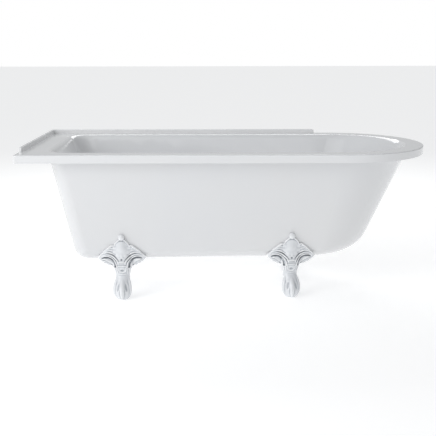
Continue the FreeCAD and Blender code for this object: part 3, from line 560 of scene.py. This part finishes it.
def ramp(material, value, stops):
    """A colour for each of some values, with an even change between."""
    node = material.node_tree.nodes.new("ShaderNodeValToRGB")
    elements = node.color_ramp.elements
    while len(elements) < len(stops):
        elements.new(0.5)
    for element, (position, colour) in zip(elements, stops):
        element.position = position
        element.color = (*colour, 1.0)
    material.node_tree.links.new(value, node.inputs["Fac"])
    return node.outputs["Color"]


def link(material, value, socket):
    shader = material.node_tree.nodes["Principled BSDF"]
    material.node_tree.links.new(value, shader.inputs[socket])


def spread(material, value, low, high):
    """A noise's value brought between two limits."""
    node = material.node_tree.nodes.new("ShaderNodeMapRange")
    node.inputs["From Min"].default_value = 0.3
    node.inputs["From Max"].default_value = 0.7
    node.inputs["To Min"].default_value = low
    node.inputs["To Max"].default_value = high
    material.node_tree.links.new(value, node.inputs["Value"])
    return node.outputs["Result"]


def bump(material, value, distance, strength=1.0):
    node = material.node_tree.nodes.new("ShaderNodeBump")
    node.inputs["Distance"].default_value = distance
    node.inputs["Strength"].default_value = strength
    material.node_tree.links.new(value, node.inputs["Height"])
    link(material, node.outputs["Normal"], "Normal")


def plain_finish(name, colour, roughness, shift=0.04, scale=60.0, grain=0.00004, **settings):
    """A finish whose colour and gloss drift a little and whose surface has a fine grain."""
    material = new_material(name, colour, roughness, **settings)
    dark = [max(0.0, c * (1 - shift)) for c in colour]
    light = [min(1.0, c * (1 + shift)) for c in colour]
    link(material, ramp(material, noise(material, scale), [(0.35, dark), (0.65, light)]),
         "Base Color")
    link(material, spread(material, noise(material, scale * 1.7), roughness * 0.85,
                          min(1.0, roughness * 1.15)), "Roughness")
    bump(material, noise(material, scale * 12), grain)
    return material


def acrylic(name, colour, roughness):
    """Cast acrylic: deep gloss, a faint long ripple from the forming and a breath of haze."""
    material = new_material(name, colour, roughness, Coat_Weight=0.6, Coat_Roughness=0.05,
                            Coat_IOR=1.49)
    cool = [c * k for c, k in zip(colour, (0.985, 0.99, 1.0))]
    link(material, ramp(material, noise(material, 2.2, 2.0), [(0.35, cool), (0.65, colour)]),
         "Base Color")
    link(material, spread(material, noise(material, 7.0), roughness * 0.85, roughness * 1.2),
         "Roughness")
    bump(material, noise(material, 5.5, 1.0), 0.0012, 0.35)
    return material


def casting():
    """White enamel on cast iron, thick and glossy; painted shade turns it grey, then dark grey,
    the deeper it lies in the carving.
    """
    material = new_material("casting_enamel", (0.86, 0.875, 0.89), 0.22, Coat_Weight=0.5,
                            Coat_Roughness=0.08)
    tree = material.node_tree
    hollow_shade = tree.nodes.new("ShaderNodeAttribute")
    hollow_shade.attribute_name = "hollow_shade"
    # painted shade: the colour falls from near white to dark grey with the depth in the carving
    link(material, ramp(material, hollow_shade.outputs["Fac"], [
        (0.28, (0.93, 0.935, 0.945)), (0.42, (0.82, 0.835, 0.855)), (0.52, (0.73, 0.75, 0.78)),
        (0.60, (0.46, 0.485, 0.52)), (0.70, (0.20, 0.215, 0.235))]), "Base Color")
    bump(material, noise(material, 260.0, 4.0), 0.0002, 0.5)
    return material


def grain_wood(name, light, dark, run):
    """Timber with its grain along one axis."""
    material = new_material(name, light, 0.75)
    fibres = noise(material, 24.0, 6.0, tuple(0.12 if axis == run else 3.0 for axis in range(3)))
    link(material, ramp(material, fibres, [(0.3, dark), (0.5, light), (0.7, dark)]),
         "Base Color")
    bump(material, fibres, 0.0004, 0.5)
    return material


def materials():
    chip_board = plain_finish("chipboard", (0.60, 0.47, 0.31), 0.8, 0.22, 320.0, 0.0003)
    return {
        "acrylic": acrylic("acrylic_basin", (0.80, 0.805, 0.812), 0.09),
        # painted shade: the same acrylic as the basin, given a darker white to stand for the shade
        # on the skirt's sides
        "acrylic_skirt": acrylic("acrylic_skirt", (0.755, 0.76, 0.767), 0.10),
        # painted light: a lighter white than the basin's, to lift the shaded faces of the upstand
        "upstand": plain_finish("upstand_plastic", (0.87, 0.875, 0.88), 0.25, 0.01, 9.0),
        "timber": grain_wood("pine", (0.66, 0.50, 0.32), (0.50, 0.34, 0.19), 0),
        "board": chip_board,
        "foot_casting": casting(),
        "pad_rubber": plain_finish("pad_rubber", (0.035, 0.035, 0.037), 0.7, 0.2, 200.0, 0.0002),
        "seal_rubber": plain_finish("seal_rubber", (0.025, 0.025, 0.026), 0.6, 0.2, 180.0),
        "zinc_steel": plain_finish("zinc_steel", (0.62, 0.63, 0.64), 0.35, 0.1, 140.0,
                                   Metallic=1.0),
        "brass": plain_finish("brass", (0.74, 0.55, 0.27), 0.32, 0.08, 90.0, Metallic=1.0),
        "chrome": plain_finish("chrome", (0.80, 0.81, 0.82), 0.07, 0.02, 40.0, 0.00001,
                               Metallic=1.0),
        "white_plastic": plain_finish("white_plastic", (0.80, 0.80, 0.78), 0.4, 0.02, 50.0),
        "hose_plastic": plain_finish("hose_plastic", (0.60, 0.61, 0.62), 0.45, 0.04, 60.0)}


# ---- the studio ---------------------------------------------------------------------------------
def floor():
    """A wide pale sheet on the floor."""
    half = 30.0
    mesh = bpy.data.meshes.new("studio_floor")
    mesh.from_pydata([(-half, -half, 0), (half, -half, 0), (half, half, 0), (-half, half, 0)], [],
                     [(0, 1, 2, 3)])
    obj = bpy.data.objects.new("studio_floor", mesh)
    bpy.context.scene.collection.objects.link(obj)
    paper = new_material("studio_paper", (0.93, 0.93, 0.93), 0.9, Specular_IOR_Level=0.0,
                         Emission_Color=(1.0, 1.0, 1.0, 1.0), Emission_Strength=FLOOR_GLOW)
    obj.data.materials.append(paper)


def soft_light(name, place, aim, size, power):
    lamp = bpy.data.lights.new(name, "AREA")
    lamp.shape = "RECTANGLE"
    lamp.size, lamp.size_y = size
    lamp.energy = power
    obj = bpy.data.objects.new(name, lamp)
    obj.location = place
    obj.rotation_euler = (Vector(aim) - Vector(place)).to_track_quat("-Z", "Y").to_euler()
    bpy.context.scene.collection.objects.link(obj)


SURROUND = [((0, 0, 1), 0.42), ((0, 1, 0), 0.62), ((-0.715, -0.613, 0.358), 0.72),
            ((0.715, -0.613, 0.358), 0.32)]     # direction and strength of each soft glow
FLOOR_GLOW = 0.36


def world():
    """A soft surround, brightest on the left and behind; what shows past the bath is white."""
    surround = bpy.data.worlds.new("studio")
    bpy.context.scene.world = surround
    surround.use_nodes = True
    tree = surround.node_tree

    def maths(operation, first, second):
        node = tree.nodes.new("ShaderNodeMath")
        node.operation = operation
        tree.links.new(first, node.inputs[0])
        if isinstance(second, float):
            node.inputs[1].default_value = second
        else:
            tree.links.new(second, node.inputs[1])
        return node.outputs["Value"]

    where = tree.nodes.new("ShaderNodeTexCoord")
    total = None
    for direction, strength in SURROUND:
        facing = tree.nodes.new("ShaderNodeVectorMath")
        facing.operation = "DOT_PRODUCT"
        tree.links.new(where.outputs["Generated"], facing.inputs[0])
        facing.inputs[1].default_value = direction
        lobe_value = maths("POWER", maths("MAXIMUM", facing.outputs["Value"], 0.0), 2.0)
        glow = maths("MULTIPLY", lobe_value, strength)
        total = glow if total is None else maths("ADD", total, glow)
    lit = tree.nodes["Background"]
    lit.inputs["Color"].default_value = (0.975, 0.987, 1.0, 1.0)
    tree.links.new(total, lit.inputs["Strength"])
    seen = tree.nodes.new("ShaderNodeBackground")
    seen.inputs["Color"].default_value = (1.0, 1.0, 1.0, 1.0)
    path = tree.nodes.new("ShaderNodeLightPath")
    mix = tree.nodes.new("ShaderNodeMixShader")
    tree.links.new(path.outputs["Is Camera Ray"], mix.inputs["Fac"])
    tree.links.new(lit.outputs["Background"], mix.inputs[1])
    tree.links.new(seen.outputs["Background"], mix.inputs[2])
    tree.links.new(mix.outputs["Shader"], tree.nodes["World Output"].inputs["Surface"])


def camera(place, pitch, roll, lens):
    data = bpy.data.cameras.new("camera")
    data.lens = lens
    data.sensor_width = 36.0
    obj = bpy.data.objects.new("camera", data)
    obj.location = place
    obj.rotation_euler = (math.pi / 2 - pitch, roll, 0)
    bpy.context.scene.collection.objects.link(obj)
    bpy.context.scene.camera = obj


finishes = materials()
for part in frame["record"]["subparts"]:
    mesh = nodes[part["node"]].data
    mesh.materials.clear()
    mesh.materials.append(finishes[part["material_slot"]])
put_feet(finishes["foot_casting"])

floor()
world()
soft_light("left_front", (-3.0, -2.4, 1.7), (-0.5, 0.0, 0.4), (2.0, 2.0), 39.0)
soft_light("behind", (0.0, 2.6, 2.4), (0.0, 0.0, 0.6), (2.6, 1.2), 27.0)
soft_light("front", (-0.3, -3.6, 2.6), (-0.1, 0.0, 0.4), (2.4, 1.2), 6.0)
camera((-0.041, -3.3875, 1.069), 0.226, 0.002, 63.8)
bpy.context.scene.view_settings.view_transform = "Standard"
